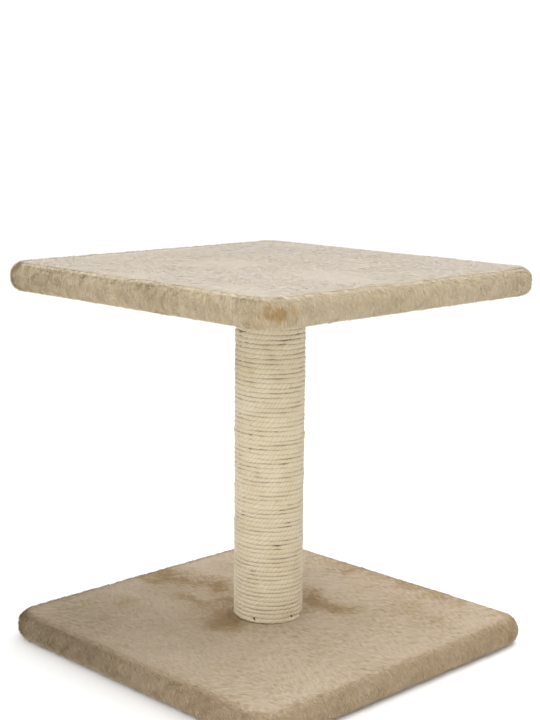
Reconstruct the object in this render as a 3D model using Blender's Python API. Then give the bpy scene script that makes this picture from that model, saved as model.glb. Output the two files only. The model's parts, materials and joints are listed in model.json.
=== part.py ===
"""A small cat tree: two plush-covered boards joined by one post wound with sisal rope.

Metres, +Z up. The origin is on the floor under the middle of the base, and the
boards' sides run along X and Y. Each piece is one closed solid in its own object.
"""

import math

import bmesh
import bpy
from mathutils import Euler, Matrix, Vector

# Boards and their plush
BOARD_SIDE = 0.360
BOARD_THICK = 0.015
BOARD_CORNER = 0.022
BOARD_EDGE = 0.0012
PILE = 0.0063
PLUSH_EDGE = 0.012
HEM_WIDTH = 0.045
HEM_CORNER = 0.006
HEM_THICK = 0.0052
LINER_THICK = 0.0008
LINER_INSET = 0.012

# Post
TUBE_LENGTH = 0.3290
TUBE_OUTER = 0.060
TUBE_WALL = 0.003
ROPE_THICK = 0.0045
FOOT_SPREAD = 0.0004
FOOT_HEIGHT = 0.016
PLUG_LENGTH = 0.032
PLUG_CHAMFER = 0.0015

# Fasteners
BOLT_DIA = 0.008
BOLT_REACH = 0.022
BOLT_TIP = 0.001
HEAD_DIA = 0.017
HEAD_THICK = 0.003
HEAD_EDGE = 0.0006
SOCKET_DIA = 0.0058
SOCKET_DEPTH = 0.002
WASHER_DIA = 0.024
WASHER_THICK = 0.0016
INSERT_WALL = 0.0015
INSERT_LENGTH = 0.014
NUT_FLANGE_DIA = 0.022
NUT_FLANGE_THICK = 0.0014
NUT_WALL = 0.0014
NUT_LENGTH = 0.010
PIN_DIA = 0.002
PIN_LENGTH = 0.010
STAPLE_CROWN = 0.010
STAPLE_LEG = 0.010
STAPLE_WIRE = 0.0007
STAPLE_WIDTH = 0.0012
STAPLE_SINK = 0.002
STAPLES_PER_SIDE = 3
ROPE_STAPLE_CROWN = 0.0056
ROPE_STAPLE_LEG = 0.008
ROPE_STAPLE_TILT = -30.0
ROPE_STAPLE_SINK = 0.0011
ROPE_STAPLE_LOW = 0.0038
ROPE_STAPLE_HIGH = 0.0052
ROPE_STAPLE_TOP = 0.012

# Clearances: still pieces that touch, and a shank in its hole
GAP = 0.0003
HOLE_GAP = 0.0005

# Where the three rope staples stand round the post, in degrees from +X
FOOT_ANGLES = (-158.0, -90.0)
ROPE_END_ANGLE = -178.0

ROUND_SEGMENTS = 48
SMALL_SEGMENTS = 20
CORNER_SEGMENTS = 7
EDGE_SEGMENTS = 5
SMOOTH_ANGLE = math.radians(35)

COLOURS = {
    "plush": ((0.66, 0.57, 0.45), 0.95, 0.0),
    "base_plush": ((0.47, 0.36, 0.24), 0.95, 0.0),
    "sisal": ((0.68, 0.57, 0.38), 0.85, 0.0),
    "chipboard": ((0.55, 0.40, 0.24), 0.80, 0.0),
    "wood": ((0.62, 0.46, 0.28), 0.70, 0.0),
    "cardboard": ((0.40, 0.28, 0.17), 0.90, 0.0),
    "liner": ((0.75, 0.72, 0.66), 0.90, 0.0),
    "steel": ((0.55, 0.55, 0.54), 0.35, 1.0),
    "dark_steel": ((0.10, 0.09, 0.08), 0.50, 1.0),
}

# Heights of one covered board above its lowest face
UNDER_GAP = 2 * GAP + LINER_THICK
BOARD_LOW = HEM_THICK + UNDER_GAP
BOARD_HIGH = BOARD_LOW + BOARD_THICK
SLAB_HEIGHT = BOARD_HIGH + GAP + PILE
COVER_HALF = BOARD_SIDE / 2 + GAP + PILE
COVER_CORNER = BOARD_CORNER + GAP + PILE
WINDOW_HALF = COVER_HALF - HEM_WIDTH

# Heights along the post
TUBE_LOW = SLAB_HEIGHT + GAP
TUBE_HIGH = TUBE_LOW + TUBE_LENGTH
PLATFORM_LOW = TUBE_HIGH - HEM_THICK
TUBE_RADIUS = TUBE_OUTER / 2
PLUG_RADIUS = TUBE_RADIUS - TUBE_WALL - GAP
SLEEVE_INNER = TUBE_RADIUS + GAP
SLEEVE_OUTER = TUBE_RADIUS + ROPE_THICK
SHANK_HOLE = BOLT_DIA / 2 + HOLE_GAP
INSERT_RADIUS = BOLT_DIA / 2 + GAP + INSERT_WALL
NUT_RADIUS = BOLT_DIA / 2 + GAP + NUT_WALL


def clear_scene():
    """Remove every object, so the file holds the model alone."""
    for item in list(bpy.data.objects):
        bpy.data.objects.remove(item, do_unlink=True)


def material(kind):
    """One Principled material of a kind, made once and shared."""
    found = bpy.data.materials.get(kind)
    if found:
        return found
    colour, roughness, metallic = COLOURS[kind]
    made = bpy.data.materials.new(kind)
    made.use_nodes = True
    shader = made.node_tree.nodes["Principled BSDF"]
    shader.inputs["Base Color"].default_value = (*colour, 1.0)
    shader.inputs["Roughness"].default_value = roughness
    shader.inputs["Metallic"].default_value = metallic
    return made


def add_object(name, mesh, kind=None, place=(0, 0, 0), turn=(0, 0, 0)):
    """Put a mesh in the scene as a named piece; without a kind it is a cutter."""
    item = bpy.data.objects.new(name, mesh)
    bpy.context.scene.collection.objects.link(item)
    item.location = place
    item.rotation_euler = Euler(turn)
    if kind is None:
        item.hide_render = True
        item.display_type = "WIRE"
    elif not mesh.materials:
        mesh.materials.append(material(kind))
    return item


def finish_mesh(bm, name, smooth=False):
    """Turn a bmesh into a mesh with its faces outward."""
    bmesh.ops.recalc_face_normals(bm, faces=bm.faces)
    mesh = bpy.data.meshes.new(name)
    bm.to_mesh(mesh)
    bm.free()
    if smooth:
        mesh.shade_smooth()
        mesh.set_sharp_from_angle(angle=SMOOTH_ANGLE)
    return mesh


def cut(item, cutter):
    """Subtract a cutter from a piece."""
    boolean = item.modifiers.new(cutter.name, "BOOLEAN")
    boolean.operation = "DIFFERENCE"
    boolean.object = cutter


def rounded_square(name, half, corner, low, high, edge=0.0, smooth=False):
    """A square plate with round corners in plan and, if asked, round rims."""
    bm = bmesh.new()
    bmesh.ops.create_cube(bm, size=1.0)
    size = Matrix.Diagonal((2 * half, 2 * half, high - low, 1.0))
    lift = Matrix.Translation((0, 0, (low + high) / 2))
    bm.transform(lift @ size)
    upright = [e for e in bm.edges if abs(e.verts[0].co.z - e.verts[1].co.z) > (high - low) / 2]
    bmesh.ops.bevel(
        bm, geom=upright, offset=corner, segments=CORNER_SEGMENTS, affect="EDGES", profile=0.5
    )
    if edge:
        rims = [e for e in bm.edges if abs(e.verts[0].co.z - e.verts[1].co.z) < edge / 10]
        bmesh.ops.bevel(
            bm, geom=rims, offset=edge, segments=EDGE_SEGMENTS, affect="EDGES", profile=0.5
        )
    return finish_mesh(bm, name, smooth)


def turned(name, profile, segments=ROUND_SEGMENTS, smooth=True):
    """A round piece: a closed profile of (radius, height) points spun about Z."""
    bm = bmesh.new()
    points = [bm.verts.new((radius, 0, height)) for radius, height in profile]
    edges = [bm.edges.new(pair) for pair in zip(points, points[1:] + points[:1])]
    bmesh.ops.spin(
        bm, geom=points + edges, cent=(0, 0, 0), axis=(0, 0, 1), angle=math.tau, steps=segments
    )
    bmesh.ops.remove_doubles(bm, verts=bm.verts, dist=1e-6)
    on_axis = [e for e in bm.edges if len(e.link_faces) != 2]
    bmesh.ops.delete(bm, geom=on_axis, context="EDGES")
    return finish_mesh(bm, name, smooth)


def staple_outline(crown, leg, clearance=0.0, reach=0.0):
    """A staple's U as (across, depth) points; a pocket adds clearance and a mouth."""
    outer = crown / 2 + clearance
    inner = crown / 2 - STAPLE_WIRE - clearance
    back = STAPLE_WIRE + clearance
    tip = leg + clearance
    bevel = 0.0 if clearance else STAPLE_WIRE
    return [
        (-outer, -reach),
        (-outer, tip),
        (-inner, tip - bevel),
        (-inner, back),
        (inner, back),
        (inner, tip - bevel),
        (outer, tip),
        (outer, -reach),
    ]


def staple_mesh(name, crown, leg, places=(Matrix(),), clearance=0.0, reach=0.0):
    """Staples, or the pockets they sit in, driven along +Z with the crown along X."""
    bm = bmesh.new()
    width = STAPLE_WIDTH + 2 * clearance
    for place in places:
        points = staple_outline(crown, leg, clearance, reach)
        verts = [bm.verts.new(place @ Vector((x, -width / 2, z))) for x, z in points]
        face = bm.faces.new(verts)
        sweep = bmesh.ops.extrude_face_region(bm, geom=[face])
        moved = [v for v in sweep["geom"] if isinstance(v, bmesh.types.BMVert)]
        step = place.to_3x3() @ Vector((0, width, 0))
        bmesh.ops.translate(bm, verts=moved, vec=step)
    return finish_mesh(bm, name)


def hem_staple_places():
    """Where the staples stand in the hem of a board at height 0, side by side."""
    middle = (COVER_HALF - PLUSH_EDGE + WINDOW_HALF) / 2
    spread = WINDOW_HALF * 0.75
    places = []
    for side in range(4):
        turn = Matrix.Rotation(side * math.pi / 2, 4, "Z")
        for index in range(STAPLES_PER_SIDE):
            along = spread * (2 * index / (STAPLES_PER_SIDE - 1) - 1)
            places.append(turn @ Matrix.Translation((along, -middle, STAPLE_SINK)))
    return places


def rope_staple_places():
    """Where the rope's staples stand: driven towards the axis, the crown across the rope."""
    heights = (TUBE_LOW + ROPE_STAPLE_LOW, TUBE_LOW + ROPE_STAPLE_HIGH)
    spots = list(zip(FOOT_ANGLES, heights))
    spots.append((ROPE_END_ANGLE, TUBE_HIGH - ROPE_STAPLE_TOP))
    tilt = Matrix.Rotation(math.radians(ROPE_STAPLE_TILT), 4, "Z")
    inward = Matrix.Rotation(-math.pi / 2, 4, "Y") @ tilt
    places = []
    for degrees, height in spots:
        turn = Matrix.Rotation(math.radians(degrees), 4, "Z")
        out = Matrix.Translation((SLEEVE_OUTER - ROPE_STAPLE_SINK, 0, height))
        places.append(turn @ out @ inward)
    return places


def pin_places(height):
    """Two opposite pins through the tube into a plug, driven towards the axis."""
    inward = Matrix.Rotation(-math.pi / 2, 4, "Y")
    out = Matrix.Translation((TUBE_RADIUS - GAP, 0, height))
    return [Matrix.Rotation(side * math.pi, 4, "Z") @ out @ inward for side in range(2)]


def pin_mesh(name, places=(Matrix(),), clearance=0.0, reach=0.0):
    """Plain pins along +Z from their heads, or the holes that take them."""
    bm = bmesh.new()
    length = PIN_LENGTH + clearance + reach
    for place in places:
        middle = place @ Matrix.Translation((0, 0, length / 2 - reach))
        bmesh.ops.create_cone(
            bm,
            cap_ends=True,
            segments=SMALL_SEGMENTS,
            radius1=PIN_DIA / 2 + clearance,
            radius2=PIN_DIA / 2 + clearance,
            depth=length,
            matrix=middle,
        )
    return finish_mesh(bm, name, smooth=True)


def drill(name, radius, low, high, segments=SMALL_SEGMENTS):
    """A round cutter on the Z axis between two heights."""
    bm = bmesh.new()
    bmesh.ops.create_cone(
        bm,
        cap_ends=True,
        segments=segments,
        radius1=radius,
        radius2=radius,
        depth=high - low,
        matrix=Matrix.Translation((0, 0, (low + high) / 2)),
    )
    return add_object(name, finish_mesh(bm, name))


def make_cover(name, low, kind, pockets):
    """Plush round a board: over the top, down the sides and back under as a hem."""
    high = low + SLAB_HEIGHT
    body = rounded_square(name, COVER_HALF, COVER_CORNER, low, high, PLUSH_EDGE, smooth=True)
    cover = add_object(name, body, kind)
    room = rounded_square(
        name + "_room",
        BOARD_SIDE / 2 + GAP,
        BOARD_CORNER + GAP,
        low + HEM_THICK,
        low + BOARD_HIGH + GAP,
    )
    window = rounded_square(
        name + "_window", WINDOW_HALF, HEM_CORNER, low - PILE, low + HEM_THICK + LINER_THICK
    )
    cut(cover, add_object(room.name, room))
    cut(cover, add_object(window.name, window))
    cut(cover, pockets)
    return cover


def make_board(name, low, pockets):
    """The stiff board inside a cover, drilled in the middle for the bolt or stud."""
    plate = rounded_square(
        name,
        BOARD_SIDE / 2,
        BOARD_CORNER,
        low + BOARD_LOW,
        low + BOARD_HIGH,
        BOARD_EDGE,
    )
    board = add_object(name, plate, "chipboard")
    cut(board, drill(name + "_hole", SHANK_HOLE, low, low + SLAB_HEIGHT))
    cut(board, pockets)
    return board


def make_liner(name, low, hole_radius, pockets):
    """The thin sheet under a board, its rim held between the board and the hem."""
    bottom = low + HEM_THICK + GAP
    sheet = rounded_square(
        name, BOARD_SIDE / 2 - LINER_INSET, HEM_CORNER, bottom, bottom + LINER_THICK
    )
    liner = add_object(name, sheet, "liner")
    cut(liner, drill(name + "_hole", hole_radius, low, low + SLAB_HEIGHT))
    cut(liner, pockets)
    return liner


def make_hem_staples(prefix, low):
    """The staples of one board, and one cutter that holds all their pockets."""
    places = [Matrix.Translation((0, 0, low)) @ place for place in hem_staple_places()]
    mesh = staple_mesh(prefix, STAPLE_CROWN, STAPLE_LEG)
    for number, place in enumerate(places, start=1):
        name = f"{prefix}_{number:02d}"
        add_object(name, mesh, "steel", place.to_translation(), place.to_euler())
    reach = STAPLE_SINK + GAP
    pockets = staple_mesh(prefix + "_pockets", STAPLE_CROWN, STAPLE_LEG, places, GAP, reach)
    return add_object(pockets.name, pockets)


def make_rope_staples():
    """The three staples that hold the rope's ends, and the cutter for their pockets."""
    places = rope_staple_places()
    mesh = staple_mesh("rope_staple", ROPE_STAPLE_CROWN, ROPE_STAPLE_LEG)
    names = ("rope_staple_foot_1", "rope_staple_foot_2", "rope_staple_top")
    for name, place in zip(names, places):
        add_object(name, mesh, "dark_steel", place.to_translation(), place.to_euler())
    reach = ROPE_STAPLE_SINK + FOOT_SPREAD + GAP
    sizes = (ROPE_STAPLE_CROWN, ROPE_STAPLE_LEG)
    pockets = staple_mesh("rope_staple_pockets", *sizes, places, GAP, reach)
    return add_object(pockets.name, pockets)


def make_pins():
    """Four pins that hold the plugs in the tube, and the cutter for their holes."""
    levels = {"bottom": TUBE_LOW + PLUG_LENGTH / 2, "top": TUBE_HIGH - PLUG_LENGTH / 2}
    mesh = pin_mesh("plug_pin")
    every = []
    for end, height in levels.items():
        places = pin_places(height)
        every += places
        for number, place in enumerate(places, start=1):
            name = f"plug_pin_{end}_{number}"
            add_object(name, mesh, "steel", place.to_translation(), place.to_euler())
    holes = pin_mesh("plug_pin_holes", every, GAP, reach=PIN_DIA)
    return add_object(holes.name, holes)


def make_tube(cutters):
    """The cardboard core of the post."""
    inner = TUBE_RADIUS - TUBE_WALL
    profile = [
        (inner, TUBE_LOW),
        (TUBE_RADIUS, TUBE_LOW),
        (TUBE_RADIUS, TUBE_HIGH),
        (inner, TUBE_HIGH),
    ]
    tube = add_object("post_tube", turned("post_tube", profile), "cardboard")
    for cutter in cutters:
        cut(tube, cutter)


def make_rope(pockets):
    """The outer shape of the winding, a sleeve that spreads a little at the foot."""
    low, high = TUBE_LOW, TUBE_HIGH
    wide = SLEEVE_OUTER + FOOT_SPREAD
    round_off = ROPE_THICK / 4
    profile = [
        (SLEEVE_INNER, low),
        (wide - round_off, low),
        (wide, low + round_off),
        (wide, low + FOOT_HEIGHT / 2),
        (SLEEVE_OUTER, low + FOOT_HEIGHT),
        (SLEEVE_OUTER, high - round_off),
        (SLEEVE_OUTER - round_off, high),
        (SLEEVE_INNER, high),
    ]
    rope = add_object("sisal_rope", turned("sisal_rope", profile), "sisal")
    cut(rope, pockets)


def make_plug(name, face, inward, cutters):
    """A turned plug with a stepped bore; inward is +1 upward or -1 downward."""
    far = face + inward * PLUG_LENGTH
    step = face + inward * (INSERT_LENGTH + GAP)
    bevel = inward * PLUG_CHAMFER
    wide_bore = INSERT_RADIUS + GAP
    profile = [
        (wide_bore, face),
        (PLUG_RADIUS, face),
        (PLUG_RADIUS, far - bevel),
        (PLUG_RADIUS - PLUG_CHAMFER, far),
        (SHANK_HOLE, far),
        (SHANK_HOLE, step),
        (wide_bore, step),
    ]
    plug = add_object(name, turned(name, profile), "wood")
    for cutter in cutters:
        cut(plug, cutter)


def make_insert(name, face, inward):
    """The threaded sleeve in a plug, drawn plain inside with the bolt's clearance."""
    end = face + inward * INSERT_LENGTH
    bore = BOLT_DIA / 2 + GAP
    profile = [(bore, face), (INSERT_RADIUS, face), (INSERT_RADIUS, end), (bore, end)]
    add_object(name, turned(name, profile, SMALL_SEGMENTS), "steel")


def make_base_bolt():
    """Flat-headed bolt from under the base, up into the post's lower plug."""
    seat = BOARD_LOW - GAP - WASHER_THICK - GAP
    low = seat - HEAD_THICK
    high = TUBE_LOW + BOLT_REACH
    radius = BOLT_DIA / 2
    profile = [
        (0, low),
        (HEAD_DIA / 2 - HEAD_EDGE, low),
        (HEAD_DIA / 2, low + HEAD_EDGE),
        (HEAD_DIA / 2, seat),
        (radius, seat),
        (radius, high - BOLT_TIP),
        (radius - BOLT_TIP, high),
        (0, high),
    ]
    bolt = add_object("base_bolt", turned("base_bolt", profile, SMALL_SEGMENTS), "steel")
    depth = low + SOCKET_DEPTH
    cut(bolt, drill("base_bolt_socket", SOCKET_DIA / 2, low - GAP, depth, segments=6))


def make_base_washer():
    """The wide washer between the bolt's head and the board."""
    high = BOARD_LOW - GAP
    low = high - WASHER_THICK
    profile = [
        (SHANK_HOLE, low),
        (WASHER_DIA / 2, low),
        (WASHER_DIA / 2, high),
        (SHANK_HOLE, high),
    ]
    add_object("base_washer", turned("base_washer", profile), "steel")


def make_top_nut(board):
    """The flanged nut let into the upper board from above, under the plush."""
    high = PLATFORM_LOW + BOARD_HIGH
    bore = BOLT_DIA / 2 + GAP
    shelf = high - NUT_FLANGE_THICK
    flange = NUT_FLANGE_DIA / 2
    profile = [
        (bore, high - NUT_LENGTH),
        (NUT_RADIUS, high - NUT_LENGTH),
        (NUT_RADIUS, shelf),
        (flange, shelf),
        (flange, high),
        (bore, high),
    ]
    add_object("top_t_nut", turned("top_t_nut", profile, SMALL_SEGMENTS), "steel")
    barrel_end = high - NUT_LENGTH - GAP
    cut(board, drill("top_nut_barrel_room", NUT_RADIUS + GAP, barrel_end, high + GAP))
    cut(board, drill("top_nut_flange_room", flange + GAP, shelf - GAP, high + GAP))


def make_top_stud():
    """The plain-ended stud from the upper plug into the flanged nut."""
    low = TUBE_HIGH - BOLT_REACH
    high = PLATFORM_LOW + BOARD_HIGH - NUT_FLANGE_THICK
    radius = BOLT_DIA / 2
    profile = [
        (0, low),
        (radius - BOLT_TIP, low),
        (radius, low + BOLT_TIP),
        (radius, high - BOLT_TIP),
        (radius - BOLT_TIP, high),
        (0, high),
    ]
    add_object("top_stud", turned("top_stud", profile, SMALL_SEGMENTS), "steel")


def make_base():
    """The lower board with everything that is fixed to it."""
    pockets = make_hem_staples("base_staple", 0.0)
    cover = make_cover("base_cover", 0.0, "base_plush", pockets)
    cut(cover, drill("base_cover_hole", SHANK_HOLE, BOARD_LOW, SLAB_HEIGHT + GAP))
    make_board("base_board", 0.0, pockets)
    make_liner("base_liner", 0.0, WASHER_DIA / 2 + HOLE_GAP, pockets)
    make_base_bolt()
    make_base_washer()


def make_post():
    """The tube with its plugs, inserts, pins, rope and rope staples."""
    staples = make_rope_staples()
    pins = make_pins()
    make_tube((pins, staples))
    make_plug("bottom_plug", TUBE_LOW, 1, (pins, staples))
    make_plug("top_plug", TUBE_HIGH, -1, (pins, staples))
    make_insert("bottom_insert", TUBE_LOW, 1)
    make_insert("top_insert", TUBE_HIGH, -1)
    make_rope(staples)


def make_platform():
    """The upper board with everything that is fixed to it."""
    pockets = make_hem_staples("top_staple", PLATFORM_LOW)
    make_cover("top_cover", PLATFORM_LOW, "plush", pockets)
    board = make_board("top_board", PLATFORM_LOW, pockets)
    make_top_nut(board)
    make_liner("top_liner", PLATFORM_LOW, SHANK_HOLE, pockets)
    make_top_stud()


clear_scene()
make_base()
make_post()
make_platform()
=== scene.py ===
import json
import math

import bpy
import numpy as np
from mathutils import Matrix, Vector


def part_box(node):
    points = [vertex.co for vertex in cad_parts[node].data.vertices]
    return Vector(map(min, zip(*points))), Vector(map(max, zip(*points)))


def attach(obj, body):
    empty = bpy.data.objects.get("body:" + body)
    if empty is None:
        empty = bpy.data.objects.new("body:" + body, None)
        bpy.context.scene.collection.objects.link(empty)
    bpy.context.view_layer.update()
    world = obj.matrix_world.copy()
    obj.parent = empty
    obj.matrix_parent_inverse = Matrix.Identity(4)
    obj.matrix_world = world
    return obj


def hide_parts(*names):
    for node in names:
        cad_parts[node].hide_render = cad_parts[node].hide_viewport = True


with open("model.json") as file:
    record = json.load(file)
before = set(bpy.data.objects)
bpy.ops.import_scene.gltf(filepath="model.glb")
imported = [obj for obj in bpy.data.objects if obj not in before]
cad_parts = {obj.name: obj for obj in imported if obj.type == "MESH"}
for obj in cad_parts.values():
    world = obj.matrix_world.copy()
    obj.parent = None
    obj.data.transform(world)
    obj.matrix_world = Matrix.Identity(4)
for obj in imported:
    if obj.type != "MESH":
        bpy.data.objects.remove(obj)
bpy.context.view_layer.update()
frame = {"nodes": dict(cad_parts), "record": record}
fullTurn = 2 * math.pi

view = {
    "bearing": math.radians(-134.62),  # where the camera stands round the post
    "distance": 1.3731,
    "height": 0.5299,
    "heading": math.radians(44.61),    # clockwise from +Y
    "dip": math.radians(10.06),
    "roll": math.radians(0.554),
    "lens": 71.5,
}

light = {
    "world": (1.0, 1.0, 1.0),
    "worldStrength": 1.05,
    "keyPlace": (0.55, -0.25, 2.3),
    "keySize": 1.3,
    "keyPower": 24.0,
    "fillPlace": (-1.8, -1.0, 1.3),
    "fillSize": 1.3,
    "fillPower": 16.0,
    "aimHeight": 0.2,        # both lights face this point of the post
    "floorColour": (0.97, 0.97, 0.97),
    "floorRoughness": 0.9,
    "floorSize": 14.0,
}


def makeCamera(v):
    # stands on a circle round the post, then turns by heading, dip and roll
    data = bpy.data.cameras.new("camera")
    data.lens = v["lens"]
    data.sensor_width = 36.0
    data.clip_end = 60.0
    camera = bpy.data.objects.new("camera", data)
    bpy.context.scene.collection.objects.link(camera)
    place = Matrix.Translation((
        v["distance"] * math.cos(v["bearing"]),
        v["distance"] * math.sin(v["bearing"]),
        v["height"],
    ))
    turn = Matrix.Rotation(-v["heading"], 4, "Z") @ Matrix.Rotation(math.pi / 2 - v["dip"], 4, "X")
    camera.matrix_world = place @ turn @ Matrix.Rotation(v["roll"], 4, "Z")
    bpy.context.scene.camera = camera


def areaLight(name, place, size, power):
    # a square soft box turned towards the post: tilt = atan2(level distance, height over aim)
    data = bpy.data.lights.new(name, "AREA")
    data.size = size
    data.energy = power
    lamp = bpy.data.objects.new(name, data)
    bpy.context.scene.collection.objects.link(lamp)
    lamp.location = place
    aim = np.array([0.0, 0.0, light["aimHeight"]]) - np.array(place)
    flat = math.hypot(aim[0], aim[1])
    lamp.rotation_euler = (math.atan2(flat, -aim[2]), 0.0, math.atan2(-aim[0], aim[1]))


def makeStudio(s):
    # an even pale surround, the two lights and a wide level floor
    world = bpy.data.worlds.new("studio")
    bpy.context.scene.world = world
    world.use_nodes = True
    background = world.node_tree.nodes["Background"]
    background.inputs["Color"].default_value = (*s["world"], 1.0)
    background.inputs["Strength"].default_value = s["worldStrength"]
    areaLight("keyLight", s["keyPlace"], s["keySize"], s["keyPower"])
    areaLight("fillLight", s["fillPlace"], s["fillSize"], s["fillPower"])
    half = s["floorSize"] / 2
    mesh = bpy.data.meshes.new("floor")
    corners = [(-half, -half, 0), (half, -half, 0), (half, half, 0), (-half, half, 0)]
    mesh.from_pydata(corners, [], [(0, 1, 2, 3)])
    floor = bpy.data.objects.new("floor", mesh)
    bpy.context.scene.collection.objects.link(floor)
    paint = bpy.data.materials.new("floorPaint")
    paint.use_nodes = True
    shader = paint.node_tree.nodes["Principled BSDF"]
    shader.inputs["Base Color"].default_value = (*s["floorColour"], 1.0)
    shader.inputs["Roughness"].default_value = s["floorRoughness"]
    mesh.materials.append(paint)


makeCamera(view)
makeStudio(light)
bpy.context.scene.view_settings.view_transform = "Standard"
print("stage: camera, floor and lights")


def unit(v):
    # v divided by its own length, row by row
    return v / np.maximum(np.linalg.norm(v, axis=-1, keepdims=True), 1e-12)


def softNoise(points, wave, seed, count=16):
    # n(p) = sum of sin(p.k + a) over random directions k, scaled to unit spread; also its slope
    r = np.random.default_rng(seed)
    k = unit(r.normal(size=(count, 3))).T * (fullTurn / wave) * r.uniform(0.6, 1.5, count)
    a = points @ k + r.uniform(0, fullTurn, count)
    scale = 1 / math.sqrt(count / 2)
    return np.sin(a).sum(-1) * scale, (np.cos(a) @ k.T) * scale * wave / fullTurn


def smoothStep(low, high, x):
    # 0 below low, 1 above high, an s-curve between
    t = np.clip((x - low) / (high - low), 0, 1)
    return t * t * (3 - 2 * t)


def putMesh(name, points, faces, uv=None, marks=None, smooth=True, extraUv=None):
    # points (n, 3) and faces (m, 3 or 4) go in whole; uv is one pair for each point
    faces = np.ascontiguousarray(faces, np.int32)
    mesh = bpy.data.meshes.new(name)
    mesh.vertices.add(len(points))
    mesh.vertices.foreach_set("co", np.ascontiguousarray(points, np.float32).ravel())
    mesh.loops.add(faces.size)
    mesh.loops.foreach_set("vertex_index", faces.ravel())
    mesh.polygons.add(len(faces))
    starts = np.arange(0, faces.size, faces.shape[1], dtype=np.int32)
    mesh.polygons.foreach_set("loop_start", starts)
    mesh.update(calc_edges=True)
    mesh.polygons.foreach_set("use_smooth", np.full(len(faces), smooth))
    for layerName, pairs in (("OFBake", uv), ("lay", extraUv)):
        if pairs is None:
            continue
        layer = mesh.uv_layers.new(name=layerName)
        chosen = pairs if len(pairs) == faces.size else pairs[faces.ravel()]
        layer.data.foreach_set("uv", np.ascontiguousarray(chosen, np.float32).ravel())
    for key, values in (marks or {}).items():
        attribute = mesh.attributes.new(key, "FLOAT", "POINT")
        attribute.data.foreach_set("value", np.ascontiguousarray(values, np.float32))
    piece = bpy.data.objects.new(name, mesh)
    bpy.context.scene.collection.objects.link(piece)
    return piece


def gridFaces(rows, columns):
    # quads between neighbours of a rows by columns grid of points, closed along its rows
    i = np.arange(rows - 1)[:, None]
    j = np.arange(columns)[None, :]
    a = i * columns + j
    b = i * columns + (j + 1) % columns
    c = (i + 1) * columns + (j + 1) % columns
    d = (i + 1) * columns + j
    return np.stack([a, b, c, d], axis=-1).reshape(-1, 4)


def tubeFaces(rows, count):
    # the same grid in triangles, turned outwards
    quads = gridFaces(rows, count)[:, ::-1]
    return np.concatenate([quads[:, [0, 1, 2]], quads[:, [0, 2, 3]]])


def endFaces(rows, count):
    # fans over a tube's two ends, their middle points kept after the grid's points
    j = np.arange(count)
    k = (j + 1) % count
    last, middle = (rows - 1) * count, np.full(count, rows * count)
    return np.concatenate([
        np.stack([j, k, middle], 1), np.stack([last + k, last + j, middle + 1], 1),
    ])


class Shader:
    # a material whose nodes are added one call at a time

    def __init__(self, name):
        self.material = bpy.data.materials.new(name)
        self.material.use_nodes = True
        self.tree = self.material.node_tree
        self.body = self.tree.nodes["Principled BSDF"]

    def node(self, kind, inputs=None, **settings):
        made = self.tree.nodes.new(kind)
        for key, value in settings.items():
            setattr(made, key, value)
        for key, value in (inputs or {}).items():
            if isinstance(value, bpy.types.NodeSocket):
                self.tree.links.new(value, made.inputs[key])
            else:
                made.inputs[key].default_value = value
        return made

    def ramp(self, factor, stops):
        made = self.node("ShaderNodeValToRGB", {"Fac": factor})
        elements = made.color_ramp.elements
        while len(elements) < len(stops):
            elements.new(0.5)
        for element, (place, colour) in zip(elements, stops):
            element.position = place
            element.color = (*colour, 1.0)
        return made.outputs["Color"]

    def mix(self, factor, first, second):
        made = self.node("ShaderNodeMix", data_type="RGBA")
        sockets = (made.inputs[0], made.inputs[6], made.inputs[7])
        for socket, value in zip(sockets, (factor, first, second)):
            if isinstance(value, bpy.types.NodeSocket):
                self.tree.links.new(value, socket)
            else:
                socket.default_value = value if isinstance(value, float) else (*value, 1.0)
        return made.outputs[2]

    def math(self, operation, first, second=0.0):
        made = self.node("ShaderNodeMath", {0: first, 1: second}, operation=operation)
        return made.outputs[0]

    def mark(self, name):
        return self.node("ShaderNodeAttribute", attribute_name=name).outputs["Fac"]

    def noise(self, vector, scale, detail=3.0, roughness=0.55):
        made = self.node(
            "ShaderNodeTexNoise",
            {"Vector": vector, "Scale": scale, "Detail": detail, "Roughness": roughness},
        )
        return made.outputs["Fac"]

    def place(self, scale=(1.0, 1.0, 1.0)):
        where = self.node("ShaderNodeTexCoord").outputs["Object"]
        return self.node("ShaderNodeMapping", {"Vector": where, "Scale": scale}).outputs["Vector"]

    def bump(self, height, strength, distance):
        made = self.node(
            "ShaderNodeBump", {"Height": height, "Strength": strength, "Distance": distance}
        )
        self.tree.links.new(made.outputs["Normal"], self.body.inputs["Normal"])

    def colour(self, value):
        self.tree.links.new(value, self.body.inputs["Base Color"])

    def fixed(self, **values):
        for key, value in values.items():
            self.body.inputs[key.replace("_", " ")].default_value = value


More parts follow.
